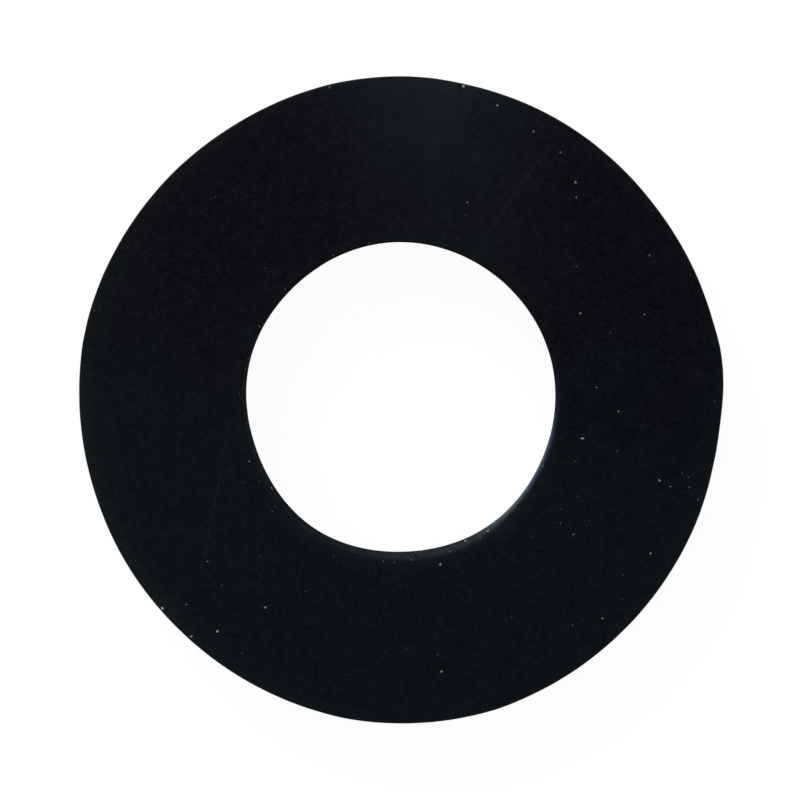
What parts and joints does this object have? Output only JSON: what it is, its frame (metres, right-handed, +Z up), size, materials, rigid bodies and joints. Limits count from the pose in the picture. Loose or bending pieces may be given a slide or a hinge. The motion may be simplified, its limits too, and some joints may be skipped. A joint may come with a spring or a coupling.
{
  "type": "rubber washer",
  "caption": "Flat round washer cut from black rubber sheet, with a central hole; it seals or cushions between a bolted joint's faces.",
  "frame": {"origin": "where the hole's axis meets the lower face", "axes": "+Z up along the hole's axis, out of the upper face; +X and +Y lie in the lower face"},
  "size_m": [0.0254, 0.0256, 0.0032],
  "materials": {
    "black_rubber": "matt black sheet rubber with a faint sheen and fine dust"
  },
  "bodies": {
    "root": {"washer": "black_rubber"}
  },
  "joints": []
}
